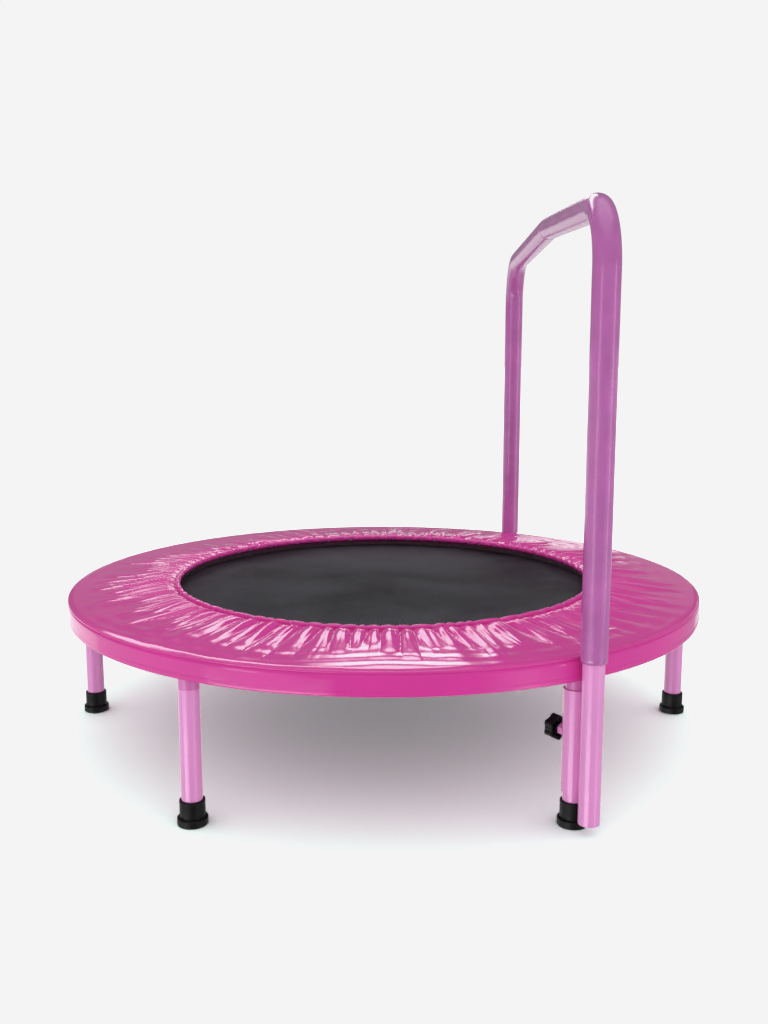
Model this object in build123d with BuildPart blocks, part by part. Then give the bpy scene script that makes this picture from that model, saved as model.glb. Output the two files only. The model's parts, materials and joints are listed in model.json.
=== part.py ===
"""Mini trampoline with a side handle, as separate pieces. Millimetres, +Z up.

The origin is on the floor under the middle of the ring. The handle stands on the +X side,
clamped to the front-right and back-right legs; its two halves mirror each other about Y = 0.
"""

from build123d import *
import os
from math import cos, radians, sin, sqrt

os.makedirs("parts", exist_ok=True)

# ---- driving dimensions ----
TUBE_RADIUS = 12.7            # one-inch steel tube for the ring, legs and handle
TUBE_WALL = 1.2
RING_RADIUS = 445.0           # centre line of the frame ring
RING_HEIGHT = 194.5

LEG_BOTTOM = 10.0             # the legs stand on the floors of their rubber caps
LEG_TOP = 167.0               # joint between leg and socket
SOCKET_TOP = 190.0
STUD_RADIUS = 5.0
STUD_REACH = 13.0             # how far a stud runs each way from the joint
NUT_THICK = 9.0

CAP_RADIUS = 15.25
CAP_HEIGHT = 31.0
CAP_FLANGE_RADIUS = 18.3
CAP_FLANGE_HEIGHT = 9.5
CAP_EDGE = 0.8                # chamfers on the cap's rims
CAP_TOE = 1.2                 # chamfer where the cap meets the floor
LEG_EDGE = 0.4                # chamfer that shows as a line where leg meets socket

SPRING_COUNT = 30
SPRING_START = 6.0            # half a pitch, so that no spring lands over a leg
SPRING_HEIGHT = 199.0         # springs, mat and V-rings lie in this plane
SPRING_WIRE = 1.3             # wire radius
COIL_RADIUS = 6.0
COIL_START = 368.0
COIL_END = 423.0
MAT_HOOK_RADIUS = 4.2
FRAME_HOOK_RADIUS = 3.5
HOOK_HOLE_RADIUS = 3.0

MAT_THICK = 1.2
MAT_RADIUS = 330.0
WEBBING_INNER = 316.0
WEBBING_OUTER = 338.0
WEBBING_THICK = 4.8
LOOP_OUTER = 348.5
LOOP_WIDTH = 14.0
LOOP_THICK = 6.0
V_RING_BASE = 344.0           # radius at which the base of each V-ring lies
V_RING_APEX = 362.0
V_RING_WIDTH = 26.0
V_RING_WIRE = 1.5
V_RING_CORNER = 3.0           # bend radius of the wire's centre line
LOOP_OVERLAP = 1.0            # extra length of each loop, cut back to the webbing
LOOP_SLACK = 0.3              # round the V-ring's wire inside its loop
FRAME_HOOK_INSET = 2.0        # from the ring's bore to where the hook turns down
HOOK_BITE = 1.0               # how far each hook's wire starts inside the coil

SKIRT_OUTER = 459.4
SKIRT_THICK = 1.2
SKIRT_BOTTOM = 180.0
SKIRT_TOP = 205.6
WELT_RADIUS = 1.7
WELT_INSET = 0.6              # outside of the welt to the outside of the skirt
COVER_THICK = 1.6
COVER_EDGE_RADIUS = 455.0
COVER_EDGE_HEIGHT = 210.0
COVER_INNER_RADIUS = 311.8
COVER_INNER_HEIGHT = 216.0
HEM_RADIUS = 306.6            # centre line of the rolled inner hem
HEM_HEIGHT = 214.0
HEM_TUBE_RADIUS = 5.0
HEM_WALL = 1.2
ELASTIC_RADIUS = 2.5

CLAMPED_LEG_ANGLE = 30.3      # leg that carries the front half of the handle
POST_OFFSET = 30.5            # leg axis to handle post axis
POST_ANGLE = 27.0             # direction from the leg to the post, from -Y towards +X
POST_BOTTOM = 14.0
BAR_CORNER_HEIGHT = 705.0     # where the post line and the bar line cross
BAR_PEAK_HEIGHT = 724.0
BEND_RADIUS = 74.0
HALF_OVERRUN = 3.0            # how far each half's route runs past the cut at Y = 0
JOINER_REACH = 60.0
JOINER_WALL = 1.5
SHEATH_BOTTOM = 206.0
SHEATH_RADIUS = 15.0
SLIP = 0.1                    # running and assembly clearance

SLEEVE_RADIUS = 14.8
SLEEVE_BOTTOM = 42.0
SLEEVE_TOP = 166.8
WELD_WIDTH = 7.0
WELD_INSET = 4.0              # weld stops short of each end of the sleeve
SCREW_HEIGHT = 110.7          # clamp screw axis
SCREW_ANGLE = 36.0            # direction the screw comes from, from +Y towards -X
SCREW_RADIUS = 4.0
SCREW_CHAMFER = 0.5
SCREW_TIP = 12.9              # distances from the leg axis, outwards from the post
SCREW_END = 33.0
CLAMP_NUT_FLATS = 13.0
CLAMP_NUT_OUTER = 21.5
KNOB_NEAR = 25.0
KNOB_THICK = 12.0
KNOB_CORE_RADIUS = 13.0
KNOB_LOBES = 6
KNOB_LOBE_RADIUS = 4.3
KNOB_LOBE_CENTRE = 10.95
KNOB_RIM = 2.4
KNOB_EDGE_RADIUS = 1.5
KNOB_HUB_RADIUS = 6.5
KNOB_RECESS = 6.0

# ---- places worked out from the dimensions ----
# Leg angles run from -Y towards +X.
LEG_ANGLES = {
    "front_left": -30,
    "front_right": CLAMPED_LEG_ANGLE,
    "right": 90,
    "back_right": 180 - CLAMPED_LEG_ANGLE,
    "back_left": -150,
    "left": -90,
}
# The handle is clamped to these legs; the sign is that of Y.
SIDES = {"front": -1, "rear": 1}

tube_bore = TUBE_RADIUS - TUBE_WALL
clamped_leg = Vector(
    RING_RADIUS * sin(radians(CLAMPED_LEG_ANGLE)),
    RING_RADIUS * cos(radians(CLAMPED_LEG_ANGLE)),
    0,
)
post_x = clamped_leg.X + POST_OFFSET * sin(radians(POST_ANGLE))
post_y = clamped_leg.Y + POST_OFFSET * cos(radians(POST_ANGLE))
bar_slope = (BAR_PEAK_HEIGHT - BAR_CORNER_HEIGHT) / post_y


def leg_spot(angle):
    """Point on the floor below the leg at this angle."""
    return Vector(RING_RADIUS * sin(radians(angle)), -RING_RADIUS * cos(radians(angle)), 0)


def save(builder, name):
    builder.part.label = name
    export_step(builder.part, f"parts/{name}.step")


# ---- frame ring, with one hole for each spring hook ----
with BuildPart(Plane.XY.offset(SPRING_HEIGHT)) as frame_ring:
    with BuildSketch(Plane.XZ):
        with Locations((RING_RADIUS, RING_HEIGHT)):
            Circle(TUBE_RADIUS)
            Circle(tube_bore, mode=Mode.SUBTRACT)
    revolve(axis=Axis.Z)
    with PolarLocations(RING_RADIUS - TUBE_RADIUS, SPRING_COUNT, SPRING_START):
        Cylinder(HOOK_HOLE_RADIUS, TUBE_RADIUS, rotation=(0, 90, 0), mode=Mode.SUBTRACT)
save(frame_ring, "frame_ring")

with BuildPart() as ring_envelope:
    with BuildSketch(Plane.XZ):
        with Locations((RING_RADIUS, RING_HEIGHT)):
            Circle(TUBE_RADIUS)
    revolve(axis=Axis.Z)

# ---- sockets, legs and rubber feet, one of each at every leg angle ----
for place, angle in LEG_ANGLES.items():
    spot = leg_spot(angle)

    # A short tube coped to the underside of the ring.
    with BuildPart() as leg_socket:
        with BuildSketch(Plane.XY.offset(LEG_TOP)):
            with Locations((spot.X, spot.Y)):
                Circle(TUBE_RADIUS)
                Circle(tube_bore, mode=Mode.SUBTRACT)
        extrude(amount=SOCKET_TOP - LEG_TOP)
        add(ring_envelope.part, mode=Mode.SUBTRACT)
    save(leg_socket, f"leg_socket_{place}")

    with BuildPart() as leg:
        with BuildSketch(Plane.XY.offset(LEG_BOTTOM)):
            with Locations((spot.X, spot.Y)):
                Circle(TUBE_RADIUS)
                Circle(tube_bore, mode=Mode.SUBTRACT)
        extrude(amount=LEG_TOP - LEG_BOTTOM)
        top_rim = leg.edges().filter_by(GeomType.CIRCLE).group_by(Axis.Z)[-1].sort_by(SortBy.RADIUS)[-1]
        chamfer(top_rim, length=LEG_EDGE)
    save(leg, f"leg_{place}")

    # A cup with a spread flange at the floor.
    with BuildPart() as foot_cap:
        with BuildSketch(Plane.XZ):
            with BuildLine():
                Polyline(
                    (0, 0),
                    (CAP_FLANGE_RADIUS - CAP_EDGE, 0),
                    (CAP_FLANGE_RADIUS, CAP_TOE),
                    (CAP_FLANGE_RADIUS, CAP_FLANGE_HEIGHT - CAP_EDGE),
                    (CAP_FLANGE_RADIUS - CAP_EDGE, CAP_FLANGE_HEIGHT),
                    (CAP_RADIUS + CAP_EDGE / 2, CAP_FLANGE_HEIGHT),
                    (CAP_RADIUS, CAP_FLANGE_HEIGHT + CAP_EDGE / 2),
                    (CAP_RADIUS, CAP_HEIGHT - CAP_EDGE),
                    (CAP_RADIUS - CAP_EDGE, CAP_HEIGHT),
                    (TUBE_RADIUS + SLIP / 2, CAP_HEIGHT),
                    (TUBE_RADIUS + SLIP / 2, LEG_BOTTOM),
                    (0, LEG_BOTTOM),
                    close=True,
                )
            make_face()
        revolve(axis=Axis.Z)
    foot_cap.part = foot_cap.part.moved(Location(spot))
    save(foot_cap, f"foot_cap_{place}")

# ---- screw joint hidden inside each leg and socket, as groups of six ----
leg_spots = [leg_spot(angle) for angle in LEG_ANGLES.values()]

with BuildPart() as leg_studs:
    with Locations([spot + Vector(0, 0, LEG_TOP) for spot in leg_spots]):
        Cylinder(STUD_RADIUS - SLIP / 2, 2 * STUD_REACH)
save(leg_studs, "leg_studs")

with BuildPart() as leg_nuts:
    with Locations([spot + Vector(0, 0, LEG_TOP - NUT_THICK) for spot in leg_spots]):
        Cylinder(tube_bore - SLIP / 2, NUT_THICK, align=(Align.CENTER, Align.CENTER, Align.MIN))
        Cylinder(
            STUD_RADIUS, NUT_THICK, align=(Align.CENTER, Align.CENTER, Align.MIN), mode=Mode.SUBTRACT
        )
save(leg_nuts, "leg_nuts")

with BuildPart() as socket_nuts:
    with Locations([spot + Vector(0, 0, LEG_TOP) for spot in leg_spots]):
        Cylinder(tube_bore - SLIP / 2, NUT_THICK, align=(Align.CENTER, Align.CENTER, Align.MIN))
        Cylinder(
            STUD_RADIUS, NUT_THICK, align=(Align.CENTER, Align.CENTER, Align.MIN), mode=Mode.SUBTRACT
        )
save(socket_nuts, "socket_nuts")

# ---- mat, its webbing and loops ----
with BuildPart() as mat:
    with Locations((0, 0, SPRING_HEIGHT)):
        Cylinder(MAT_RADIUS, MAT_THICK)
save(mat, "mat")

# The webbing is folded over the edge of the mat, which lies in a slot inside it.
with BuildPart() as mat_webbing:
    with Locations((0, 0, SPRING_HEIGHT)):
        Cylinder(WEBBING_OUTER, WEBBING_THICK)
        Cylinder(WEBBING_INNER, WEBBING_THICK, mode=Mode.SUBTRACT)
        Cylinder(MAT_RADIUS + 2 * SLIP, MAT_THICK + SLIP, mode=Mode.SUBTRACT)
save(mat_webbing, "mat_webbing")

# One loop for each V-ring, with a tunnel for the base of the ring.
with BuildPart(Plane.XY.offset(SPRING_HEIGHT)) as mat_loops:
    with PolarLocations((LOOP_OUTER + WEBBING_OUTER) / 2, SPRING_COUNT, SPRING_START):
        Box(LOOP_OUTER - WEBBING_OUTER + LOOP_OVERLAP, LOOP_WIDTH, LOOP_THICK)
    with PolarLocations(V_RING_BASE, SPRING_COUNT, SPRING_START):
        Cylinder(V_RING_WIRE + LOOP_SLACK, LOOP_WIDTH, rotation=(90, 0, 0), mode=Mode.SUBTRACT)
    Cylinder(WEBBING_OUTER + SLIP / 2, LOOP_THICK, mode=Mode.SUBTRACT)
save(mat_loops, "mat_loops")

# ---- V-rings: rounded triangles of wire, base in the loop and apex outwards ----
with BuildPart() as v_ring:
    with BuildLine(Plane.XY.offset(SPRING_HEIGHT)) as triangle:
        FilletPolyline(
            (V_RING_BASE, -V_RING_WIDTH / 2),
            (V_RING_APEX, 0),
            (V_RING_BASE, V_RING_WIDTH / 2),
            radius=V_RING_CORNER,
            close=True,
        )
    with BuildSketch(Plane(origin=triangle.line @ 0, z_dir=triangle.line % 0)):
        Circle(V_RING_WIRE)
    sweep()

with BuildPart() as v_rings:
    with PolarLocations(0, SPRING_COUNT, SPRING_START):
        add(v_ring.part)
save(v_rings, "v_rings")

# ---- springs: a closed coil envelope with a wire and a hook at each end ----
apex_half_angle = V_RING_WIDTH / 2 / sqrt((V_RING_APEX - V_RING_BASE) ** 2 + (V_RING_WIDTH / 2) ** 2)
apex_wire = V_RING_APEX - V_RING_CORNER / apex_half_angle + V_RING_CORNER
mat_hook_centre = apex_wire - V_RING_WIRE - SPRING_WIRE - SLIP + MAT_HOOK_RADIUS
frame_hook_start = RING_RADIUS - tube_bore + FRAME_HOOK_INSET

with BuildPart() as spring:
    with Locations(((COIL_START + COIL_END) / 2, 0, SPRING_HEIGHT)):
        Cylinder(COIL_RADIUS, COIL_END - COIL_START, rotation=(0, 90, 0))
    with BuildLine(Plane.XZ) as mat_hook:
        Line(
            (COIL_START + HOOK_BITE, SPRING_HEIGHT + MAT_HOOK_RADIUS),
            (mat_hook_centre, SPRING_HEIGHT + MAT_HOOK_RADIUS),
        )
        CenterArc((mat_hook_centre, SPRING_HEIGHT), MAT_HOOK_RADIUS, 90, 220)
    with BuildSketch(Plane(origin=mat_hook.line @ 0, z_dir=mat_hook.line % 0)):
        Circle(SPRING_WIRE)
    sweep(path=mat_hook.line)
    with BuildLine(Plane.XZ) as frame_hook:
        Line((COIL_END - HOOK_BITE, SPRING_HEIGHT), (frame_hook_start, SPRING_HEIGHT))
        CenterArc((frame_hook_start, SPRING_HEIGHT - FRAME_HOOK_RADIUS), FRAME_HOOK_RADIUS, 90, -80)
    with BuildSketch(Plane(origin=frame_hook.line @ 0, z_dir=frame_hook.line % 0)):
        Circle(SPRING_WIRE)
    sweep(path=frame_hook.line)

with BuildPart() as springs:
    with PolarLocations(0, SPRING_COUNT, SPRING_START):
        add(spring.part)
save(springs, "springs")

# ---- vinyl spring cover: top sheet, welt, skirt, inner hem and its elastic ----
with BuildPart() as cover_top:
    with BuildSketch(Plane.XZ):
        with BuildLine():
            Polyline(
                (COVER_INNER_RADIUS, COVER_INNER_HEIGHT - COVER_THICK),
                (COVER_INNER_RADIUS, COVER_INNER_HEIGHT),
                (COVER_EDGE_RADIUS, COVER_EDGE_HEIGHT),
                (COVER_EDGE_RADIUS, COVER_EDGE_HEIGHT - COVER_THICK),
                close=True,
            )
        make_face()
    revolve(axis=Axis.Z)
save(cover_top, "cover_top")

with BuildPart() as cover_welt:
    with BuildSketch(Plane.XZ):
        with Locations((SKIRT_OUTER - WELT_INSET - WELT_RADIUS, SKIRT_TOP + 2 * SLIP + WELT_RADIUS)):
            Circle(WELT_RADIUS)
    revolve(axis=Axis.Z)
save(cover_welt, "cover_welt")

with BuildPart() as cover_skirt:
    with BuildSketch(Plane.XZ):
        with Locations((SKIRT_OUTER - SKIRT_THICK, SKIRT_BOTTOM)):
            Rectangle(SKIRT_THICK, SKIRT_TOP - SKIRT_BOTTOM, align=(Align.MIN, Align.MIN))
    revolve(axis=Axis.Z)
save(cover_skirt, "cover_skirt")

with BuildPart() as cover_hem:
    with BuildSketch(Plane.XZ):
        with Locations((HEM_RADIUS, HEM_HEIGHT)):
            Circle(HEM_TUBE_RADIUS)
            Circle(HEM_TUBE_RADIUS - HEM_WALL, mode=Mode.SUBTRACT)
    revolve(axis=Axis.Z)
save(cover_hem, "cover_hem")

with BuildPart() as hem_elastic:
    with BuildSketch(Plane.XZ):
        with Locations((HEM_RADIUS, HEM_HEIGHT)):
            Circle(ELASTIC_RADIUS)
    revolve(axis=Axis.Z)
save(hem_elastic, "hem_elastic")


# ---- handle: two bent halves, each running from beside a leg to the middle of the bar ----
def half_bar(side, outer, bore, bottom):
    """One half of a round section that follows the handle, cut square to Y at the middle."""
    with BuildPart() as half:
        with BuildLine(Plane.YZ.offset(post_x)) as route:
            FilletPolyline(
                (-post_y, bottom),
                (-post_y, BAR_CORNER_HEIGHT),
                (HALF_OVERRUN, BAR_PEAK_HEIGHT + HALF_OVERRUN * bar_slope),
                radius=BEND_RADIUS,
            )
        with BuildSketch(Plane(origin=route.line @ 0, z_dir=route.line % 0)):
            Circle(outer)
            Circle(bore, mode=Mode.SUBTRACT)
        sweep(path=route.line)
        split(bisect_by=Plane.XZ, keep=Keep.TOP)
        if side > 0:
            mirror(about=Plane.XZ, mode=Mode.REPLACE)
    return half


def clamp_plane(side, distance, height=SCREW_HEIGHT, angle=SCREW_ANGLE):
    """Plane square to the clamp screw, at a distance from the leg axis away from the post."""
    out = Vector(-sin(radians(angle)), -side * cos(radians(angle)), 0)
    leg_axis = Vector(clamped_leg.X, side * clamped_leg.Y, height)
    return Plane(origin=leg_axis + out * distance, x_dir=(0, 0, 1), z_dir=out)


for place, side in SIDES.items():
    handle_tube = half_bar(side, TUBE_RADIUS, tube_bore, POST_BOTTOM)
    save(handle_tube, f"handle_tube_{place}")

    handle_sheath = half_bar(side, SHEATH_RADIUS, TUBE_RADIUS + SLIP / 2, SHEATH_BOTTOM)
    save(handle_sheath, f"handle_sheath_{place}")

    # Sleeve round the leg, drilled for the clamp screw.
    with BuildPart() as clamp_sleeve:
        with BuildSketch(Plane.XY.offset(SLEEVE_BOTTOM)):
            with Locations((clamped_leg.X, side * clamped_leg.Y)):
                Circle(SLEEVE_RADIUS)
                Circle(TUBE_RADIUS + SLIP, mode=Mode.SUBTRACT)
        extrude(amount=SLEEVE_TOP - SLEEVE_BOTTOM)
        with BuildSketch(clamp_plane(side, 0)):
            Circle(SCREW_RADIUS + SLIP / 2)
        extrude(amount=2 * SLEEVE_RADIUS, mode=Mode.SUBTRACT)
    save(clamp_sleeve, f"clamp_sleeve_{place}")

    # Weld filling the valley between sleeve and post.
    with BuildPart() as clamp_weld:
        middle_height = (SLEEVE_BOTTOM + SLEEVE_TOP) / 2
        with BuildSketch(clamp_plane(side, -POST_OFFSET / 2, middle_height, POST_ANGLE)):
            Rectangle(SLEEVE_TOP - SLEEVE_BOTTOM - 2 * WELD_INSET, WELD_WIDTH)
        extrude(amount=POST_OFFSET / 4, both=True)
        with Locations((clamped_leg.X, side * clamped_leg.Y, SCREW_HEIGHT)):
            Cylinder(SLEEVE_RADIUS, 2 * SLEEVE_TOP, mode=Mode.SUBTRACT)
        with Locations((post_x, side * post_y, SCREW_HEIGHT)):
            Cylinder(TUBE_RADIUS, 2 * SLEEVE_TOP, mode=Mode.SUBTRACT)
    save(clamp_weld, f"clamp_weld_{place}")

    # Nut welded on the sleeve.
    with BuildPart() as clamp_nut:
        with BuildSketch(clamp_plane(side, 0)):
            RegularPolygon(CLAMP_NUT_FLATS / 2, 6, major_radius=False)
            Circle(SCREW_RADIUS + SLIP / 2, mode=Mode.SUBTRACT)
        extrude(amount=CLAMP_NUT_OUTER)
        with Locations((clamped_leg.X, side * clamped_leg.Y, SCREW_HEIGHT)):
            Cylinder(SLEEVE_RADIUS, 2 * CLAMP_NUT_FLATS, mode=Mode.SUBTRACT)
    save(clamp_nut, f"clamp_nut_{place}")

    with BuildPart() as clamp_bolt:
        with BuildSketch(clamp_plane(side, SCREW_TIP)):
            Circle(SCREW_RADIUS)
        extrude(amount=SCREW_END - SCREW_TIP)
        chamfer(clamp_bolt.edges().filter_by(GeomType.CIRCLE), length=SCREW_CHAMFER)
    save(clamp_bolt, f"clamp_bolt_{place}")

    # Six-lobed knob, hollowed from the side that faces the leg, round a hub that takes the bolt.
    with BuildPart() as knob:
        with BuildSketch(clamp_plane(side, KNOB_NEAR)):
            Circle(KNOB_CORE_RADIUS)
            with PolarLocations(KNOB_LOBE_CENTRE, KNOB_LOBES):
                Circle(KNOB_LOBE_RADIUS)
        extrude(amount=KNOB_THICK)
        far_edges = knob.faces().sort_by(Axis(clamped_leg, clamp_plane(side, 0).z_dir))[-1].edges()
        fillet(far_edges, radius=KNOB_EDGE_RADIUS)
        with BuildSketch(clamp_plane(side, KNOB_NEAR)):
            Circle(KNOB_CORE_RADIUS - KNOB_RIM)
            with PolarLocations(KNOB_LOBE_CENTRE, KNOB_LOBES):
                Circle(KNOB_LOBE_RADIUS - KNOB_RIM)
            Circle(KNOB_HUB_RADIUS, mode=Mode.SUBTRACT)
        extrude(amount=KNOB_RECESS, mode=Mode.SUBTRACT)
        with BuildSketch(clamp_plane(side, KNOB_NEAR)):
            Circle(SCREW_RADIUS + SLIP / 2)
        extrude(amount=SCREW_END - KNOB_NEAR + SLIP, mode=Mode.SUBTRACT)
    save(knob, f"knob_{place}")

# Short inner tube that holds the two halves in line.
with BuildPart() as handle_joiner:
    with BuildLine(Plane.YZ.offset(post_x)) as joiner_route:
        Line(
            (-JOINER_REACH, BAR_PEAK_HEIGHT - JOINER_REACH * bar_slope),
            (HALF_OVERRUN, BAR_PEAK_HEIGHT + HALF_OVERRUN * bar_slope),
        )
    with BuildSketch(Plane(origin=joiner_route.line @ 0, z_dir=joiner_route.line % 0)):
        Circle(tube_bore - SLIP)
        Circle(tube_bore - SLIP - JOINER_WALL, mode=Mode.SUBTRACT)
    sweep(path=joiner_route.line)
    split(bisect_by=Plane.XZ, keep=Keep.TOP)
    mirror(about=Plane.XZ)
save(handle_joiner, "handle_joiner")
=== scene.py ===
"""Looks of a mini trampoline with a gathered vinyl cover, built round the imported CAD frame."""
import json
import math
import random

import bpy
import numpy as np
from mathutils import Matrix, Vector


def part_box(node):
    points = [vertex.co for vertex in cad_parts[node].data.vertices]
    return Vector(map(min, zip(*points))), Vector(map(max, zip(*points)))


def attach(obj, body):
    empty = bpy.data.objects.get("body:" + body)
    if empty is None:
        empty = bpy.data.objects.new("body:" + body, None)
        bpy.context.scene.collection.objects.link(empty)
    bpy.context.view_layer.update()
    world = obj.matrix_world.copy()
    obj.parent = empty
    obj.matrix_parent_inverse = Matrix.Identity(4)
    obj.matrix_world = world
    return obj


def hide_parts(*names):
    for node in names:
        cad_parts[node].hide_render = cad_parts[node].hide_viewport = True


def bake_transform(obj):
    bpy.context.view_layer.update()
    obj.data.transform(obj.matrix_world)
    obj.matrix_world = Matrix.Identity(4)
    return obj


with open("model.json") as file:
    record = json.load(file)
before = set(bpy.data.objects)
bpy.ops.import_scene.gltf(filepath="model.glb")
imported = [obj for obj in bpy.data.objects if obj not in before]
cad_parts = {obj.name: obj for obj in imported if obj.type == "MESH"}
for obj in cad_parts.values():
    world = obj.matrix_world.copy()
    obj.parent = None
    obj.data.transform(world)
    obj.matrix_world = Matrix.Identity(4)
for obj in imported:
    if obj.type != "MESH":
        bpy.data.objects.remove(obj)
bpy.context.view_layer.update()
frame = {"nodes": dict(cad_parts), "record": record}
nodes = frame["nodes"]

TAU = 2 * math.pi
rng = random.Random(11)


# ---- places read from the CAD ----
def outer_radius(node):
    """Largest distance from the Z axis that a ring-shaped node reaches."""
    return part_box(node)[1].x


cover_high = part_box("cover_top")[1]
hem_low, hem_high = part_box("cover_hem")
skirt_low, skirt_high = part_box("cover_skirt")
welt_low, welt_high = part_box("cover_welt")
mat_low, mat_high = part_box("mat")
web_low, web_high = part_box("mat_webbing")
loop_low, loop_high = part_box("mat_loops")

COVER_OUTER = outer_radius("cover_top")
COVER_OUTER_Z = 0.210
COVER_INNER_Z = cover_high.z
HEM_OUTER = outer_radius("cover_hem")
HEM_RADIUS = HEM_OUTER - (hem_high.z - hem_low.z) / 2
# The drawn roll is thinner than its solid, and lies at its top. The sheet starts inside the roll.
HEM_TUBE = 0.0037
HEM_Z = hem_high.z - HEM_TUBE
COVER_INNER = HEM_RADIUS + 0.9 * HEM_TUBE
WELT_TUBE = (welt_high.z - welt_low.z) / 2
WELT_RADIUS = outer_radius("cover_welt") - WELT_TUBE
WELT_Z = (welt_high.z + welt_low.z) / 2
SKIRT_OUTER = outer_radius("cover_skirt")
MAT_RADIUS = outer_radius("mat")
MAT_Z = (mat_high.z + mat_low.z) / 2
WEB_INNER = 0.316
WEB_OUTER = outer_radius("mat_webbing")
TUBE_RADIUS = 0.0127
TUBE_BORE = 0.0115


# ---- shader nodes ----
def math_node(tree, operation, a, b=None):
    """Output of a Math node whose inputs are numbers or sockets."""
    n = tree.nodes.new("ShaderNodeMath")
    n.operation = operation
    for i, v in enumerate((a, b)):
        if v is None:
            continue
        if isinstance(v, (int, float)):
            n.inputs[i].default_value = v
        else:
            tree.links.new(v, n.inputs[i])
    return n.outputs[0]


def range_node(tree, value, low, high, to_low, to_high, smooth=False):
    """Output of a Map Range node that carries low..high to to_low..to_high."""
    n = tree.nodes.new("ShaderNodeMapRange")
    if smooth:
        n.interpolation_type = "SMOOTHSTEP"
    for i, v in enumerate((low, high, to_low, to_high), start=1):
        n.inputs[i].default_value = v
    tree.links.new(value, n.inputs[0])
    return n.outputs[0]


# ---- materials ----
class Shader:
    """A Principled material whose nodes are wired through short calls."""

    def __init__(self, name, rough, metallic=0.0, coat=0.0, coat_rough=0.08, sheen=0.0, specular=0.5):
        self.material = bpy.data.materials.new(name)
        self.material.use_nodes = True
        self.tree = self.material.node_tree
        self.bsdf = self.tree.nodes["Principled BSDF"]
        for socket, value in (
            ("Roughness", rough),
            ("Metallic", metallic),
            ("Coat Weight", coat),
            ("Coat Roughness", coat_rough),
            ("Sheen Weight", sheen),
            ("Specular IOR Level", specular),
        ):
            self.bsdf.inputs[socket].default_value = value
        self.place = self.tree.nodes.new("ShaderNodeTexCoord").outputs["Object"]

    def link(self, a, b):
        self.tree.links.new(a, b)

    def noise(self, scale, detail=3.0, roughness=0.5, vector=None, distortion=0.0):
        n = self.tree.nodes.new("ShaderNodeTexNoise")
        n.inputs["Scale"].default_value = scale
        n.inputs["Detail"].default_value = detail
        n.inputs["Roughness"].default_value = roughness
        n.inputs["Distortion"].default_value = distortion
        self.link(vector or self.place, n.inputs["Vector"])
        return n.outputs["Fac"]

    def math(self, operation, a, b=None):
        return math_node(self.tree, operation, a, b)

    def remap(self, value, low, high, to_low, to_high):
        return range_node(self.tree, value, low, high, to_low, to_high)

    def colour(self, fac, dark, light):
        n = self.tree.nodes.new("ShaderNodeValToRGB")
        n.color_ramp.elements[0].position = 0.3
        n.color_ramp.elements[1].position = 0.7
        n.color_ramp.elements[0].color = (*dark, 1)
        n.color_ramp.elements[1].color = (*light, 1)
        self.link(fac, n.inputs["Fac"])
        self.link(n.outputs["Color"], self.bsdf.inputs["Base Color"])

    def rough(self, fac, low, high):
        self.link(self.remap(fac, 0.3, 0.7, low, high), self.bsdf.inputs["Roughness"])

    def bump(self, *layers):
        """Each layer is (height, strength, distance in metres)."""
        last = None
        for height, strength, distance in layers:
            n = self.tree.nodes.new("ShaderNodeBump")
            n.inputs["Strength"].default_value = strength
            n.inputs["Distance"].default_value = distance
            self.link(height, n.inputs["Height"])
            if last:
                self.link(last, n.inputs["Normal"])
            last = n.outputs["Normal"]
        self.link(last, self.bsdf.inputs["Normal"])


def tint(colour, factor):
    return tuple(min(1.0, c * factor) for c in colour)


def vinyl(name, colour, rough):
    """Glossy PVC sheet: faint grain, slow colour drift and a slightly uneven gloss."""
    s = Shader(name, rough, coat_rough=0.05)
    s.colour(s.noise(9.0, 3.0), tint(colour, 0.95), tint(colour, 1.04))
    s.rough(s.noise(38.0, 2.0), rough * 0.9, rough * 1.15)
    s.bump((s.noise(60.0, 2.0), 0.05, 0.0012), (s.noise(1500.0, 2.0), 0.04, 0.00012))
    return s.material


def paint(name, colour):
    """Powder coat: orange peel, a slow drift of colour and rubbed duller patches."""
    s = Shader(name, 0.22, coat=0.2, coat_rough=0.10)
    s.colour(s.noise(16.0, 4.0), tint(colour, 0.96), tint(colour, 1.03))
    s.rough(s.noise(70.0, 3.0), 0.20, 0.25)
    s.bump((s.noise(520.0, 1.0), 0.05, 0.00020), (s.noise(1900.0, 1.0), 0.04, 0.00006))
    return s.material


def metal(name, colour, low, high):
    """Zinc plate: fine drawing marks and cloudy gloss."""
    s = Shader(name, low, metallic=1.0)
    s.colour(s.noise(240.0, 5.0, 0.6), tint(colour, 0.78), tint(colour, 1.1))
    s.rough(s.noise(420.0, 3.0), low, high)
    s.bump((s.noise(2600.0, 2.0), 0.18, 0.00008),)
    return s.material


def black_plastic(name, colour, low, high, grain):
    """Moulded rubber or plastic: a fine spark-eroded grain with dusty, duller places."""
    s = Shader(name, low, specular=0.2)
    s.colour(s.noise(45.0, 4.0), tint(colour, 0.8), tint(colour, 1.5))
    s.rough(s.noise(90.0, 3.0), low, high)
    s.bump((s.noise(grain, 2.0), 0.3, 0.00018), (s.noise(grain / 9, 2.0), 0.12, 0.0004))
    return s.material


WEAVE_PITCH = 0.0026
FAN_LINES = 276.0


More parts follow.
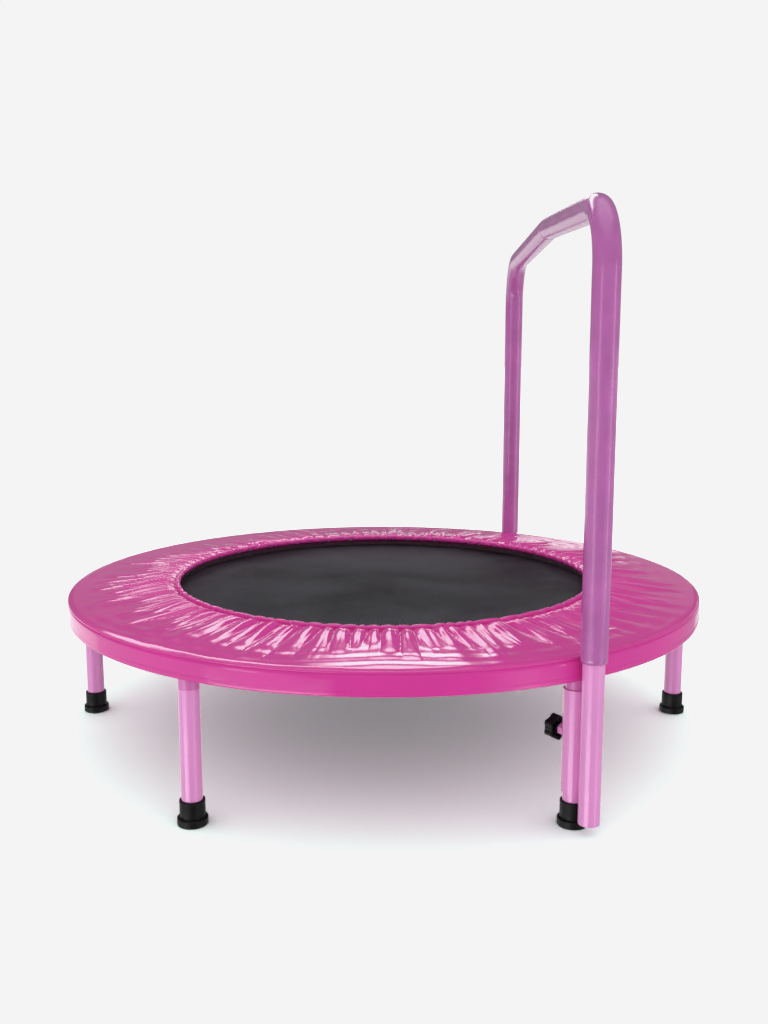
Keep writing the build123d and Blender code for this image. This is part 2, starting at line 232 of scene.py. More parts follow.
def mat_weave(name):
    """Flat woven tape yarn: two crossed sets of ridges, and a cloudy, dusty tone.

    Radial lines spread out at the front, painted lighter in the colour as painted glints and raised in the
    bump. Fixed paler patches at the far middle and the front are painted sheen, a painted reflection."""
    s = Shader(name, 0.34, sheen=0.02, specular=0.012)
    split = s.tree.nodes.new("ShaderNodeSeparateXYZ")
    s.link(s.place, split.inputs[0])
    x, y = split.outputs[0], split.outputs[1]
    per_metre = TAU / WEAVE_PITCH
    warp = s.math("SINE", s.math("MULTIPLY", x, per_metre))
    weft = s.math("SINE", s.math("MULTIPLY", y, per_metre))
    cross = s.math("MULTIPLY", warp, weft)
    # painted glints: radial lines at the front lighten the colour, a painted reflection; the same lines also
    # shape the bump.
    angle = s.math("ARCTAN2", y, x)
    line = s.math("SINE", s.math("MULTIPLY", angle, FAN_LINES))
    radius = s.math("SQRT", s.math("ADD", s.math("MULTIPLY", x, x), s.math("MULTIPLY", y, y)))
    reach = s.remap(radius, 0.17, 0.30, 0.0, 1.0)
    front = s.remap(y, 0.0, -0.20, 0.1, 1.0)
    fan_glint_lines = s.math("MULTIPLY", s.math("MULTIPLY", line, reach), front)
    cloud = s.noise(7.0, 4.0, 0.6, distortion=0.4)
    # painted sheen: paler patches at the far middle and at the front lighten the colour, a painted
    # reflection.
    far = s.remap(y, 0.06, 0.27, 0.0, 0.5)
    middle = s.remap(s.math("ABSOLUTE", x), 0.02, 0.20, 1.0, 0.0)
    painted_sheen = s.math("MULTIPLY", far, middle)
    painted_sheen = s.math("ADD", painted_sheen, s.math("MULTIPLY", s.math("MULTIPLY", front, reach), 0.28))
    mixed = s.math("ADD", s.math("MULTIPLY", cross, 0.08), s.math("MULTIPLY", fan_glint_lines, 0.26))
    mixed = s.math("ADD", s.math("ADD", mixed, painted_sheen), cloud)
    s.colour(mixed, (0.011, 0.011, 0.014), (0.055, 0.055, 0.064))
    s.rough(cloud, 0.30, 0.40)
    s.bump((cross, 0.45, 0.00035), (fan_glint_lines, 0.7, 0.0009), (s.noise(24.0, 3.0), 0.10, 0.0012))
    return s.material


def woven_tape(name, colour, pitch):
    """Narrow woven webbing: ribs across and a speckle of yarn."""
    s = Shader(name, 0.7, sheen=0.25)
    split = s.tree.nodes.new("ShaderNodeSeparateXYZ")
    s.link(s.place, split.inputs[0])
    ribs = s.math("SINE", s.math("MULTIPLY", split.outputs[0], TAU / pitch))
    cords = s.math("SINE", s.math("MULTIPLY", split.outputs[1], TAU / pitch))
    weave = s.math("MULTIPLY", ribs, cords)
    s.colour(s.noise(600.0, 3.0), tint(colour, 0.7), tint(colour, 1.5))
    s.rough(s.noise(120.0, 2.0), 0.6, 0.82)
    s.bump((weave, 0.5, 0.0004), (s.noise(1500.0, 2.0), 0.3, 0.0002))
    return s.material


def sheath_vinyl(name, colour):
    """Tight sleeve over the handle: a mottled, slightly dimpled skin with a wet gloss."""
    s = Shader(name, 0.22, coat=0.25, coat_rough=0.07)
    s.colour(s.noise(26.0, 4.0, 0.6), tint(colour, 0.88), tint(colour, 1.10))
    s.rough(s.noise(60.0, 3.0), 0.16, 0.28)
    s.bump((s.noise(95.0, 2.0), 0.10, 0.0008), (s.noise(900.0, 2.0), 0.16, 0.00015))
    return s.material


MAKERS = {
    "frame_paint": lambda: paint("frame_paint", (0.76, 0.20, 0.54)),
    "leg_paint": lambda: paint("leg_paint", (0.92, 0.35, 0.75)),
    "rubber": lambda: black_plastic("rubber", (0.005, 0.005, 0.006), 0.42, 0.60, 900.0),
    "zinc_steel": lambda: metal("zinc_steel", (0.58, 0.58, 0.60), 0.26, 0.42),
    "spring_steel": lambda: metal("spring_steel", (0.52, 0.52, 0.54), 0.22, 0.38),
    "mat_weave": lambda: mat_weave("mat_weave"),
    "webbing": lambda: woven_tape("webbing", (0.014, 0.014, 0.016), 0.0022),
    "cover_vinyl": lambda: vinyl("cover_vinyl", (0.82, 0.056, 0.400), 0.10),
    "welt_vinyl": lambda: vinyl("welt_vinyl", (0.80, 0.056, 0.385), 0.14),
    "elastic": lambda: woven_tape("elastic", (0.55, 0.50, 0.53), 0.0012),
    "sheath_vinyl": lambda: sheath_vinyl("sheath_vinyl", (0.56, 0.155, 0.47)),
    "knob_plastic": lambda: black_plastic("knob_plastic", (0.006, 0.006, 0.007), 0.34, 0.5, 1300.0),
}
materials = {name: make() for name, make in MAKERS.items()}
for part in frame["record"]["subparts"]:
    mesh = nodes[part["node"]].data
    mesh.materials.clear()
    mesh.materials.append(materials[part["material_slot"]])


# ---- mesh helpers ----
def add_piece(name, vertices, faces, slot, body, replaced=()):
    """A smooth mesh object that rides on a body and stands for the named CAD nodes."""
    mesh = bpy.data.meshes.new(name)
    mesh.from_pydata(np.asarray(vertices).tolist(), [], faces)
    mesh.polygons.foreach_set("use_smooth", [True] * len(mesh.polygons))
    mesh.materials.append(materials[slot])
    mesh.validate()
    mesh.update()
    obj = bpy.data.objects.new(name, mesh)
    bpy.context.scene.collection.objects.link(obj)
    if replaced:
        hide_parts(*replaced)
    if body:
        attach(obj, body)
    return obj


def ring_faces(around, across, closed):
    """Quads of a grid that wraps round the Z axis, and across too where closed."""
    faces = []
    last = across if closed else across - 1
    for i in range(around):
        here = i * across
        there = ((i + 1) % around) * across
        for j in range(last):
            k = (j + 1) % across
            faces.append((here + j, there + j, there + k, here + k))
    return faces


def polar(radius, height, angle):
    """Stacks arrays of radius, height and angle into points."""
    return np.stack([radius * np.cos(angle), radius * np.sin(angle), height], axis=-1).reshape(-1, 3)


def swept(rows_r, rows_z, angles):
    """Grid points round the Z axis, from one array of radii and one of heights for each row."""
    return polar(np.stack(rows_r, 1), np.stack(rows_z, 1), np.repeat(angles[:, None], len(rows_r), 1))


def smooth_step(x):
    """0 below 0, 1 above 1, and smooth between."""
    x = np.clip(x, 0, 1)
    return x * x * (3 - 2 * x)


# ---- the gathers ----
PLEATS = 98
widths = np.array([rng.uniform(0.62, 1.42) for _ in range(PLEATS)])
widths *= TAU / widths.sum()
edges = np.concatenate([[0.0], np.cumsum(widths)])[:-1]
heights = np.array([rng.uniform(0.55, 1.25) for _ in range(PLEATS)])
reaches = np.array([rng.uniform(0.42, 0.98) for _ in range(PLEATS)])
leans = np.array([rng.uniform(-0.9, 0.9) for _ in range(PLEATS)]) * widths
skews = np.array([rng.uniform(0.65, 1.5) for _ in range(PLEATS)])


def pleat(angle, shift):
    """(puff from 0 in the valleys to 1 on the crowns, pleat index) round the ring.

    shift moves each valley sideways by that share of its own lean."""
    moved = edges + leans * shift
    order = np.argsort(moved)
    moved = moved[order]
    a = np.mod(angle - moved[0], TAU) + moved[0]
    at = np.clip(np.searchsorted(moved, a, side="right") - 1, 0, PLEATS - 1)
    nexts = np.append(moved[1:], moved[0] + TAU)
    share = np.clip((a - moved[at]) / np.maximum(nexts[at] - moved[at], 1e-6), 0, 1)
    index = order[at]
    share = share ** skews[index]
    return (4 * share * (1 - share)) ** 0.62, index


def ripple(angle, seed, low, high, count):
    """Smooth seeded waves round the ring, about -1 to 1."""
    source = random.Random(seed)
    total = np.zeros_like(angle)
    for _ in range(count):
        turns = source.randint(low, high)
        total += np.sin(turns * angle + source.uniform(0, TAU)) * source.uniform(0.4, 1.0)
    return total / math.sqrt(count)


AROUND = 1960
angle = np.arange(AROUND) * TAU / AROUND

# ---- cover: one gathered sheet from the hem to the welt ----
ACROSS = 60
# The sheet's outer edge runs into the top of the welt.
SEAM_REACH = 0.0014
GATHER_HEIGHT = 0.0074
FINE_GATHER_HEIGHT = 0.0016
LONG_FOLD_HEIGHT = 0.0011
SAG_HEIGHT = 0.0006
RING_WAVE_HEIGHT = 0.00022
HEM_GROOVE_DEPTH = 0.0014
CROWN_HEIGHT = 0.0010
EDGE_DROP = 0.0014
t = np.linspace(0, 1, ACROSS) ** 1.25
soft = ripple(angle, 3, 22, 60, 9)
slow = ripple(angle, 5, 3, 11, 5)
rows_r, rows_z = [], []
for share in t:
    radius = COVER_INNER + (COVER_OUTER + SEAM_REACH - COVER_INNER) * share
    puff, index = pleat(angle, share)
    fade = np.clip(1 - share / reaches[index], 0, 1) ** 1.15
    rise = smooth_step(np.array(share / 0.12))
    fine, fine_index = pleat(2 * angle, share)
    gather = GATHER_HEIGHT * heights[index] * fade * (0.15 + 0.85 * rise) * (puff - 0.40)
    gather += FINE_GATHER_HEIGHT * heights[fine_index] * (1 - share) ** 2.2 * rise * (fine - 0.5)
    long_fold = LONG_FOLD_HEIGHT * soft * smooth_step(np.array(share / 0.2)) * (1 - share) ** 0.7
    sag = SAG_HEIGHT * slow * math.sin(math.pi * share)
    ring_wave = RING_WAVE_HEIGHT * np.sin(share * 34 + 2.5 * slow)
    ring_wave = ring_wave * smooth_step(np.array((share - 0.45) / 0.3))
    base = COVER_INNER_Z + (COVER_OUTER_Z - COVER_INNER_Z) * share
    groove = -HEM_GROOVE_DEPTH * math.exp(-(share / 0.045) ** 2)
    crown = CROWN_HEIGHT * math.exp(-((share - 0.17) / 0.11) ** 2)
    edge = -EDGE_DROP * smooth_step(np.array((share - 0.965) / 0.035))
    rows_r.append(np.full(AROUND, radius))
    rows_z.append(base + groove + crown + edge + gather + long_fold + sag + ring_wave)
cover_points = swept(rows_r, rows_z, angle)
cover = add_piece(
    "cover_sheet", cover_points, ring_faces(AROUND, ACROSS, False), "cover_vinyl", "frame", ["cover_top"]
)

# ---- hem: a puckered roll over the elastic ----
TURN = 22
minor = np.arange(TURN) * TAU / TURN
rows_r, rows_z = [], []
for phi in minor:
    puff, index = pleat(angle, 0.55 * math.sin(phi))
    roll = HEM_TUBE * (0.76 + 0.46 * puff * (0.70 + 0.30 * heights[index]))
    rows_r.append(HEM_RADIUS + roll * math.cos(phi))
    rows_z.append(HEM_Z + roll * math.sin(phi))
hem = add_piece(
    "cover_hem_roll", swept(rows_r, rows_z, angle), ring_faces(AROUND, TURN, True), "cover_vinyl", "frame",
    ["cover_hem"],
)

# ---- welt: the piped seam round the outer edge ----
WELT_SIDES = 14
minor = np.arange(WELT_SIDES) * TAU / WELT_SIDES
wander = 0.00012 * ripple(angle, 9, 40, 90, 6)
rows_r = [WELT_RADIUS + (WELT_TUBE + wander) * math.cos(p) for p in minor]
rows_z = [WELT_Z + (WELT_TUBE + wander) * math.sin(p) for p in minor]
welt = add_piece(
    "cover_piping", swept(rows_r, rows_z, angle), ring_faces(AROUND, WELT_SIDES, True), "welt_vinyl", "frame",
    ["cover_welt"],
)

# ---- skirt: a hanging band with its lower edge folded in ----
SKIRT_TURN_UP = 0.007
drop = skirt_high.z - skirt_low.z
profile = [
    (WELT_RADIUS, skirt_high.z + 0.0008),
    (SKIRT_OUTER - 0.0009, skirt_high.z - 0.001),
]
for k in range(1, 12):
    profile.append((SKIRT_OUTER - 0.0003, skirt_high.z - 0.001 - (drop - 0.002) * k / 11))
profile += [
    (SKIRT_OUTER - 0.0008, skirt_low.z),
    (SKIRT_OUTER - 0.0016, skirt_low.z + 0.0006),
    (SKIRT_OUTER - 0.0018, skirt_low.z + SKIRT_TURN_UP * 0.5),
    (SKIRT_OUTER - 0.0018, skirt_low.z + SKIRT_TURN_UP),
]
wave = ripple(angle, 21, 5, 26, 7)
rows_r, rows_z = [], []
for radius, height in profile:
    hang = smooth_step(np.array((skirt_high.z - height) / drop))
    rows_r.append(radius + 0.00035 * wave * hang)
    rows_z.append(np.full(AROUND, height) + 0.0003 * ripple(angle, 23, 4, 12, 4) * hang)
skirt = add_piece(
    "cover_skirt_band", swept(rows_r, rows_z, angle), ring_faces(AROUND, len(profile), False), "cover_vinyl",
    "frame", ["cover_skirt"],
)


# ---- stitches ----
STITCH_PITCH = 0.0048
STITCH_LENGTH = 0.0036


def stitches(name, radius, height, pitch, length, thick, slot, body, lift=None):
    """Short raised threads laid along a circle. lift gives an extra height at an angle."""
    count = int(TAU * radius / pitch)
    points, faces = [], []
    sides = 6
    for i in range(count):
        middle = i * TAU / count
        z = height if lift is None else height + lift(middle)
        for along, scale in ((-0.5, 0.35), (-0.3, 1.0), (0.3, 1.0), (0.5, 0.35)):
            a = middle + along * length / radius
            for k in range(sides):
                turn = k * TAU / sides
                r = radius + thick * scale * math.cos(turn)
                points.append((r * math.cos(a), r * math.sin(a), z + thick * scale * math.sin(turn)))
        base = i * 4 * sides
        for ring in range(3):
            for k in range(sides):
                n = (k + 1) % sides
                a, b = base + ring * sides, base + (ring + 1) * sides
                faces.append((a + k, a + n, b + n, b + k))
        faces.append(tuple(base + k for k in reversed(range(sides))))
        faces.append(tuple(base + 3 * sides + k for k in range(sides)))
    return add_piece(name, points, faces, slot, body)


groove_row = int(np.argmin(np.abs(t - 0.012)))
groove_z = cover_points.reshape(AROUND, ACROSS, 3)[:, groove_row, 2]
GROOVE_RADIUS = COVER_INNER + (COVER_OUTER - COVER_INNER) * float(t[groove_row])


def groove_height(a):
    """Height of the sheet's groove beside the hem at an angle."""
    return float(groove_z[int(a / TAU * AROUND) % AROUND])


hem_stitches = stitches(
    "hem_stitches", GROOVE_RADIUS, 0.0, STITCH_PITCH, STITCH_LENGTH, 0.00045, "cover_vinyl", "frame",
    groove_height,
)
skirt_stitches = stitches(
    "skirt_stitches", SKIRT_OUTER - 0.0003, skirt_low.z + SKIRT_TURN_UP * 0.85, STITCH_PITCH, STITCH_LENGTH,
    0.0003, "cover_vinyl", "frame",
)

# ---- mat: a stretched disc, pulled into faint scallops at its edge ----
SPRINGS = 30
FIRST_SPRING = math.radians(6)
RINGS = 34
MAT_AROUND = 720
mat_angle = np.arange(MAT_AROUND) * TAU / MAT_AROUND
half = (mat_high.z - mat_low.z) / 2
points = []
for side in (1, -1):
    for k in range(RINGS):
        radius = MAT_RADIUS * (0.02 + 0.98 * k / (RINGS - 1))
        pull = 0.0004 * (radius / MAT_RADIUS) ** 6 * np.cos(SPRINGS * (mat_angle - FIRST_SPRING))
        dip = -0.0018 * (1 - (radius / MAT_RADIUS) ** 2)
        z = MAT_Z + side * half + pull + dip
        points.append(polar(np.full(MAT_AROUND, radius), z, mat_angle))
faces = []


def band(a, b, count, flip):
    """Quads between two rings of vertices that start at a and b."""
    for i in range(count):
        n = (i + 1) % count
        quad = (a + i, a + n, b + n, b + i)
        faces.append(quad[::-1] if flip else quad)


for side in range(2):
    start = side * RINGS * MAT_AROUND
    for k in range(RINGS - 1):
        band(start + k * MAT_AROUND, start + (k + 1) * MAT_AROUND, MAT_AROUND, side == 0)
    middle = tuple(start + i for i in range(MAT_AROUND))
    faces.append(middle if side == 0 else middle[::-1])
band((RINGS - 1) * MAT_AROUND, (2 * RINGS - 1) * MAT_AROUND, MAT_AROUND, True)
mat = add_piece("mat_fabric", np.concatenate(points), faces, "mat_weave", "mat", ["mat"])

# ---- webbing band round the mat, with rounded edges ----
WEB_ROUND = 0.0012
# How far the outer edge is raised, which closes the gap between the band and the hem.
WEB_FOLD = 0.0046
web_profile = []
for centre_r, centre_z, from_turn in (
    (WEB_OUTER - WEB_ROUND, web_high.z - WEB_ROUND + WEB_FOLD, 0.0),
    (WEB_INNER + WEB_ROUND, web_high.z - WEB_ROUND, 0.25),
    (WEB_INNER + WEB_ROUND, web_low.z + WEB_ROUND, 0.5),
    (WEB_OUTER - WEB_ROUND, web_low.z + WEB_ROUND, 0.75),
):
    for k in range(4):
        turn = (from_turn + 0.25 * k / 3) * TAU
        web_profile.append((centre_r + WEB_ROUND * math.cos(turn), centre_z + WEB_ROUND * math.sin(turn)))
rows_r = [np.full(MAT_AROUND, r) for r, _ in web_profile]
rows_z = [np.full(MAT_AROUND, z) + 0.0001 * ripple(mat_angle, 31, 30, 90, 4) for _, z in web_profile]
webbing = add_piece(
    "mat_edge_webbing", swept(rows_r, rows_z, mat_angle), ring_faces(MAT_AROUND, len(web_profile), True),
    "webbing", "mat", ["mat_webbing"],
)
STITCH_INSET = 0.004
for row, radius in enumerate((WEB_INNER + STITCH_INSET, WEB_OUTER - STITCH_INSET)):
    height = web_high.z + 0.0001 + WEB_FOLD * (0.18 + 0.64 * row)
    stitches(f"webbing_stitches_{row}", radius, height, 0.0042, 0.003, 0.0004, "webbing", "mat")

# ---- springs: coils with a hook at each end ----
WIRE = 0.0013
COIL_RADIUS = 0.006 - WIRE
COIL_START = 0.368
COIL_END = 0.423
COIL_TURNS = 19
STEPS_PER_TURN = 14
SPRING_Z = 0.199
MAT_HOOK = 0.0042
MAT_HOOK_CENTRE = 0.3613
FRAME_HOOK = 0.0035
HOOK_INSET = 0.002
FRAME_HOOK_START = outer_radius("frame_ring") - TUBE_RADIUS - TUBE_BORE + HOOK_INSET


def spring_path():
    """Centre line of one spring in its own plane: (along the radius, sideways, up)."""
    path = []
    for k in range(23):
        turn = math.radians(310 - 220 * k / 22)
        path.append((MAT_HOOK_CENTRE + MAT_HOOK * math.cos(turn), 0.0, MAT_HOOK * math.sin(turn)))
    steps = COIL_TURNS * STEPS_PER_TURN
    for k in range(steps + 1):
        share = k / steps
        turn = math.radians(90) + TAU * COIL_TURNS * share
        opened = min(1.0, share * COIL_TURNS * 1.4, (1 - share) * COIL_TURNS * 1.4)
        radius = MAT_HOOK + (COIL_RADIUS - MAT_HOOK) * opened
        if share > 0.5:
            radius = COIL_RADIUS * opened
        along = COIL_START + (COIL_END - COIL_START) * share
        path.append((along, radius * math.cos(turn), radius * math.sin(turn)))
    path.append((FRAME_HOOK_START - 0.003, 0.0, 0.0))
    for k in range(10):
        turn = math.radians(90 - 80 * k / 9)
        path.append((FRAME_HOOK_START + FRAME_HOOK * math.cos(turn), 0.0, FRAME_HOOK * (math.sin(turn) - 1)))
    return [Vector(p) for p in path]


def tube(path, radius, sides):
    """(points, faces) of a closed round tube along a path, with a frame carried from point to point."""
    points, faces = [], []
    side = Vector((0, 1, 0))
    for i, p in enumerate(path):
        ahead = path[min(i + 1, len(path) - 1)] - path[max(i - 1, 0)]
        ahead.normalize()
        side = side - ahead * side.dot(ahead)
        side.normalize()
        up = ahead.cross(side)
        for k in range(sides):
            turn = k * TAU / sides
            points.append(p + (side * math.cos(turn) + up * math.sin(turn)) * radius)
    for i in range(len(path) - 1):
        for k in range(sides):
            n = (k + 1) % sides
            a, b = i * sides, (i + 1) * sides
            faces.append((a + k, a + n, b + n, b + k))
    faces.append(tuple(reversed(range(sides))))
    faces.append(tuple((len(path) - 1) * sides + k for k in range(sides)))
    return points, faces


spring_points, spring_faces = tube(spring_path(), WIRE, 6)
for i in range(SPRINGS):
    a = FIRST_SPRING + i * TAU / SPRINGS
    out = Vector((math.cos(a), math.sin(a), 0))
    across = Vector((-math.sin(a), math.cos(a), 0))
    placed = [out * p.x + across * p.y + Vector((0, 0, SPRING_Z + p.z)) for p in spring_points]
    spring = add_piece(
        f"spring_{i:02d}", [tuple(p) for p in placed], spring_faces, "spring_steel", None, ["springs"]
    )
    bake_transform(spring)

# ---- webbing loops that hold the V-rings ----
LOOP_WIDTH = 0.014
LOOP_THICK = 0.0011
V_RING_BASE = 0.344
loop_points, loop_faces = [], []
TURN_STEPS = 12
loop_outer = (loop_high.z - loop_low.z) / 2 - LOOP_THICK / 2
centre = [(WEB_OUTER - STITCH_INSET, loop_outer)]
for k in range(TURN_STEPS + 1):
    turn = math.pi / 2 - math.pi * k / TURN_STEPS
    centre.append((V_RING_BASE + loop_outer * math.cos(turn), loop_outer * math.sin(turn)))
centre.append((WEB_OUTER - STITCH_INSET, -loop_outer))
for i in range(SPRINGS):
    a = FIRST_SPRING + i * TAU / SPRINGS
    out = Vector((math.cos(a), math.sin(a), 0))
    across = Vector((-math.sin(a), math.cos(a), 0))
    first = len(loop_points)
    for j, (r, z) in enumerate(centre):
        p0 = Vector(centre[max(j - 1, 0)])
        p1 = Vector(centre[min(j + 1, len(centre) - 1)])
        ahead = (p1 - p0).normalized()
        normal = Vector((-ahead.y, ahead.x))
        for side, edge in ((1, -1), (1, 1), (-1, 1), (-1, -1)):
            q = Vector((r, z)) + normal * side * LOOP_THICK / 2
            loop_points.append(out * q.x + across * edge * LOOP_WIDTH / 2 + Vector((0, 0, SPRING_Z + q.y)))
    for j in range(len(centre) - 1):
        for k in range(4):
            n = (k + 1) % 4
            a0, b0 = first + j * 4, first + (j + 1) * 4
            loop_faces.append((a0 + k, a0 + n, b0 + n, b0 + k))
    loop_faces.append((first + 3, first + 2, first + 1, first))
    tail = first + (len(centre) - 1) * 4
    loop_faces.append((tail, tail + 1, tail + 2, tail + 3))
loops = add_piece(
    "mat_edge_loops", [tuple(p) for p in loop_points], loop_faces, "webbing", "mat", ["mat_loops"]
)

# ---- handle sheaths: tight sleeves that follow the bent bar ----
BAR_CORNER_Z = 0.705
BAR_PEAK_Z = 0.724
BEND = 0.074
SHEATH_SIDES = 40
SHEATH_BORE = 0.01285
# How far the skin stands off its solid.
SHEATH_PUFF = 0.0005


def sheath(side_name, sign, seed):
    """One half's sleeve: up the post, round the bend and along the bar to the middle."""
    low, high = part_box("handle_sheath_" + side_name)
    radius = (high.x - low.x) / 2
    x = (high.x + low.x) / 2
    post_y = abs(low.y if sign < 0 else high.y) - radius
    slope = (BAR_PEAK_Z - BAR_CORNER_Z) / post_y
    tilt = math.atan(slope)
    turn_angle = math.pi / 2 - tilt
    tangent = BEND * math.tan(turn_angle / 2)
    path = []
    straight = 150
    for k in range(straight):
        path.append((post_y, low.z + (BAR_CORNER_Z - tangent - low.z) * k / straight))
    for k in range(33):
        a = turn_angle * k / 32
        path.append((post_y - BEND * (1 - math.cos(a)), BAR_CORNER_Z - tangent + BEND * math.sin(a)))
    y0, z0 = path[-1]
    for k in range(1, 71):
        share = k / 70
        path.append((y0 * (1 - share) + 0.0002 * share, z0 + (BAR_PEAK_Z - z0) * share))
    source = random.Random(seed)
    waves = [(source.uniform(20, 90), source.uniform(0, TAU), source.randint(1, 3)) for _ in range(7)]
    points, faces = [], []
    travelled = 0.0
    total = sum(math.dist(path[i], path[i + 1]) for i in range(len(path) - 1))
    for i, (y, z) in enumerate(path):
        if i:
            travelled += math.dist(path[i - 1], path[i])
        before, after = path[max(i - 1, 0)], path[min(i + 1, len(path) - 1)]
        ahead = Vector((0, (after[0] - before[0]) * sign, after[1] - before[1])).normalized()
        outward = Vector((1, 0, 0))
        third = ahead.cross(outward)
        lip = math.exp(-(travelled / 0.0028) ** 2)
        rounding = 0.0009 * max(0.0, 1 - travelled / 0.0016) ** 2
        seam = -0.0009 * math.exp(-((total - travelled) / 0.0022) ** 2)
        for k in range(SHEATH_SIDES):
            a = k * TAU / SHEATH_SIDES
            wobble = sum(math.sin(f * travelled + p + n * a) for f, p, n in waves) / 7
            r = radius + SHEATH_PUFF + 0.00016 * wobble + 0.0002 * lip - rounding + seam
            points.append(Vector((x, y * sign, z)) + (outward * math.cos(a) + third * math.sin(a)) * r)
    inner = []
    mouth = Vector((x, post_y * sign, low.z + 0.0004))
    for k in range(SHEATH_SIDES):
        a = k * TAU / SHEATH_SIDES
        along_y = Vector((0, 1, 0)) * math.sin(a) * SHEATH_BORE
        inner.append(mouth + Vector((math.cos(a), 0, 0)) * SHEATH_BORE + along_y)
    count = len(path)
    for i in range(count - 1):
        for k in range(SHEATH_SIDES):
            n = (k + 1) % SHEATH_SIDES
            a0, b0 = i * SHEATH_SIDES, (i + 1) * SHEATH_SIDES
            faces.append((a0 + k, a0 + n, b0 + n, b0 + k))
    first = len(points)
    points += inner
    for k in range(SHEATH_SIDES):
        n = (k + 1) % SHEATH_SIDES
        faces.append((first + k, first + n, n, k))
    return add_piece(
        "sheath_" + side_name, [tuple(p) for p in points], faces, "sheath_vinyl", "handle",
        ["handle_sheath_" + side_name],
    )


sheath("front", -1, 41)
sheath("rear", 1, 43)

# ---- floor, world and camera ----
FLOOR_SIZE = 60.0
FLOOR_TONE = 0.80
FLOOR_GLOW = 0.25
# The colour that only the camera sees. Above 1 the floor is overexposed, and its tint takes out the
# pink that the object casts on it.
FLOOR_SEEN = (1.66, 2.04, 1.87, 1)
floor_mesh = bpy.data.meshes.new("floor")
reach = FLOOR_SIZE / 2
corners = [(-reach, -reach, 0), (reach, -reach, 0), (reach, reach, 0), (-reach, reach, 0)]
floor_mesh.from_pydata(corners, [], [(0, 1, 2, 3)])
floor = bpy.data.objects.new("floor", floor_mesh)
bpy.context.scene.collection.objects.link(floor)
floor_look = bpy.data.materials.new("floor_paper")
floor_look.use_nodes = True
paper = floor_look.node_tree.nodes["Principled BSDF"]
paper.inputs["Base Color"].default_value = (FLOOR_TONE, FLOOR_TONE, FLOOR_TONE, 1)
paper.inputs["Emission Color"].default_value = (1, 1, 1, 1)
paper.inputs["Emission Strength"].default_value = FLOOR_GLOW
paper.inputs["Roughness"].default_value = 0.9
paper.inputs["Specular IOR Level"].default_value = 0.0
bare = floor_look.node_tree.nodes.new("ShaderNodeBsdfDiffuse")
bare.inputs["Color"].default_value = FLOOR_SEEN
seen = floor_look.node_tree.nodes.new("ShaderNodeLightPath")
choose = floor_look.node_tree.nodes.new("ShaderNodeMixShader")
floor_out = floor_look.node_tree.nodes["Material Output"]
for a, b in (
    (seen.outputs["Is Camera Ray"], choose.inputs[0]),
    (paper.outputs[0], choose.inputs[1]),
    (bare.outputs[0], choose.inputs[2]),
    (choose.outputs[0], floor_out.inputs["Surface"]),
):
    floor_look.node_tree.links.new(a, b)
floor_mesh.materials.append(floor_look)
# Reflections don't see the floor, but the world's own lights below the horizon.
floor.visible_glossy = False

scene = bpy.context.scene
# The tone curve stops every white at the backdrop's tone.
WHITE = 0.905
scene.view_settings.view_transform = "Standard"
scene.view_settings.use_curve_mapping = True
tones = scene.view_settings.curve_mapping
tones.extend = "HORIZONTAL"
curve = tones.curves[3]
curve.points[1].location = (WHITE, WHITE)
curve.points.new(1.0, WHITE)
for point in curve.points:
    point.handle_type = "VECTOR"
tones.update()
world = bpy.data.worlds.new("studio")
scene.world = world
world.use_nodes = True
tree = world.node_tree
tree.nodes.clear()
BACKDROP = 0.92
EVEN_LIGHT = 0.956


def w_math(operation, a, b=None):
    return math_node(tree, operation, a, b)


direction = tree.nodes.new("ShaderNodeTexCoord").outputs["Generated"]
parts = tree.nodes.new("ShaderNodeSeparateXYZ")
tree.links.new(direction, parts.inputs[0])
azimuth = w_math("ARCTAN2", parts.outputs[0], parts.outputs[1])
elevation = w_math("ARCSINE", parts.outputs[2])


def window(value, centre, half_width, soft_edge):
    """1 inside a span of angles and 0 outside, with a soft edge, all in degrees."""
    away = w_math("ABSOLUTE", w_math("SUBTRACT", value, math.radians(centre)))
    inside, outside = math.radians(half_width), math.radians(half_width + soft_edge)
    return range_node(tree, away, inside, outside, 1.0, 0.0, smooth=True)


# (azimuth from +Y towards +X, half width, elevation, half height, radiance); below 0 is a dark card.
SOFTBOXES = (
    (0.5, 3.6, 19, 1.8, 5.0),
    (-17, 21, 33, 4.0, 5.0),
    (10, 1.8, 8, 2.0, 1.6),
    (15, 6, 10, 5, 0.20),
    (-14, 6, 10, 5, 0.12),
    (-38, 24, -13, 6, 0.7),
    (-133, 5, -2, 11, 2.4),
    (113, 5, -2, 11, 3.0),
    (-140, 21, -27, 6, 6.0),
    (80, 45, -24, 20, -0.6),
    (125, 6, -30, 9, 2.0),
)
BOX_EDGE = 2.5
# The sky that reflections see: dim near the horizon, and bright overhead from SKY_TURN degrees up.
LOW_SKY = 0.24
HIGH_SKY = 1.6
SKY_TURN = (42, 66)
sky = range_node(
    tree, elevation, math.radians(SKY_TURN[0]), math.radians(SKY_TURN[1]), LOW_SKY, HIGH_SKY, smooth=True
)
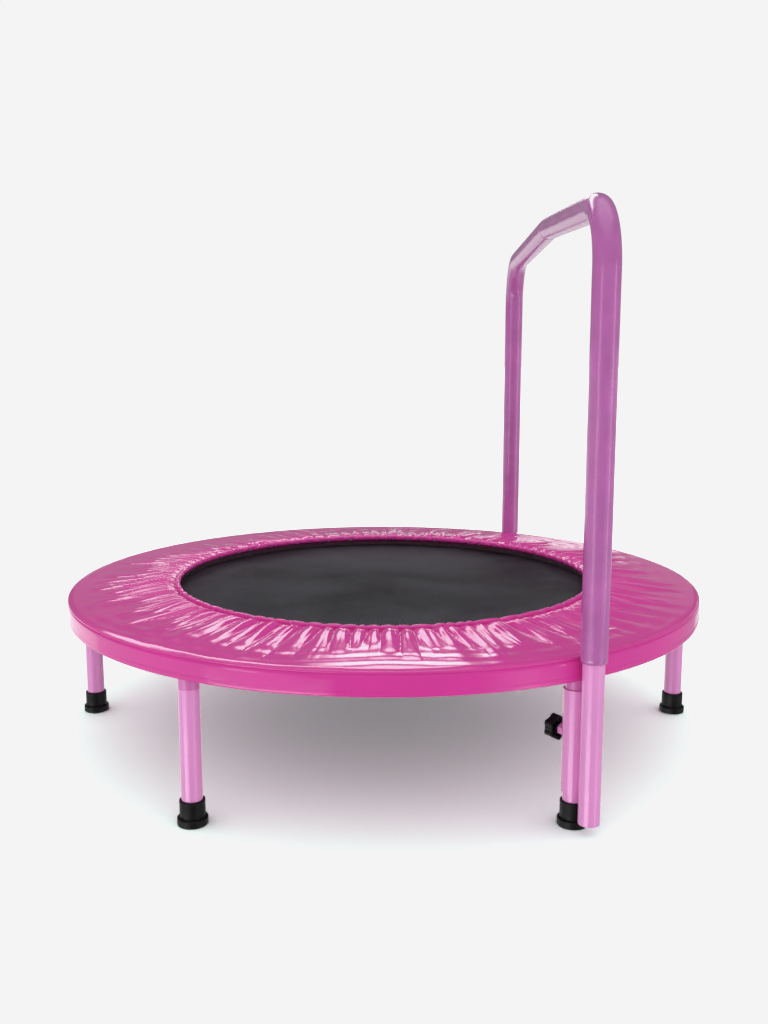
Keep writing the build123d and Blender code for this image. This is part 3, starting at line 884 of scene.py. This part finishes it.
# Below the horizon, reflections see a bright ground at the sides and a dim one at the front.
SIDE_GLOW = 1.15
GLOW_TURN = 6.0
CAMERA_GLOW = 0.12
GLOW_SPAN = (140, 156)
turned = w_math("ABSOLUTE", w_math("ADD", azimuth, math.radians(GLOW_TURN)))
ground = range_node(
    tree, turned, math.radians(GLOW_SPAN[0]), math.radians(GLOW_SPAN[1]), SIDE_GLOW, CAMERA_GLOW, smooth=True
)
below = w_math("LESS_THAN", elevation, 0.0)
above = w_math("SUBTRACT", 1.0, below)
glow = w_math("ADD", w_math("MULTIPLY", sky, above), w_math("MULTIPLY", ground, below))
for az, half_w, el, half_h, power in SOFTBOXES:
    mask = w_math("MULTIPLY", window(azimuth, az, half_w, BOX_EDGE), window(elevation, el, half_h, BOX_EDGE))
    glow = w_math("ADD", glow, w_math("MULTIPLY", mask, power))
lit = tree.nodes.new("ShaderNodeBackground")
tree.links.new(glow, lit.inputs["Strength"])
plain = tree.nodes.new("ShaderNodeBackground")
plain.inputs["Color"].default_value = (BACKDROP, BACKDROP, BACKDROP, 1)
plain.inputs["Strength"].default_value = 1.0
even = tree.nodes.new("ShaderNodeBackground")
even.inputs["Strength"].default_value = EVEN_LIGHT
ray = tree.nodes.new("ShaderNodeLightPath")
last = lit.outputs[0]
for kind, other in (("Is Diffuse Ray", even), ("Is Camera Ray", plain)):
    mix = tree.nodes.new("ShaderNodeMixShader")
    tree.links.new(ray.outputs[kind], mix.inputs[0])
    tree.links.new(last, mix.inputs[1])
    tree.links.new(other.outputs[0], mix.inputs[2])
    last = mix.outputs[0]
out_node = tree.nodes.new("ShaderNodeOutputWorld")
tree.links.new(last, out_node.inputs["Surface"])
# The world is reached only by the surfaces' own rays, so that each kind of ray sees its own light.
world.cycles.sampling_method = "NONE"

camera_data = bpy.data.cameras.new("camera")
camera_data.lens = 36.1
camera_data.sensor_width = 36.0
CAMERA_PITCH = 9.017
CAMERA_YAW = 0.35
camera = bpy.data.objects.new("camera", camera_data)
scene.collection.objects.link(camera)
camera.location = (0.0098, -1.5233, 0.5525)
camera.rotation_euler = (math.radians(90 - CAMERA_PITCH), 0.0, math.radians(CAMERA_YAW))
scene.camera = camera
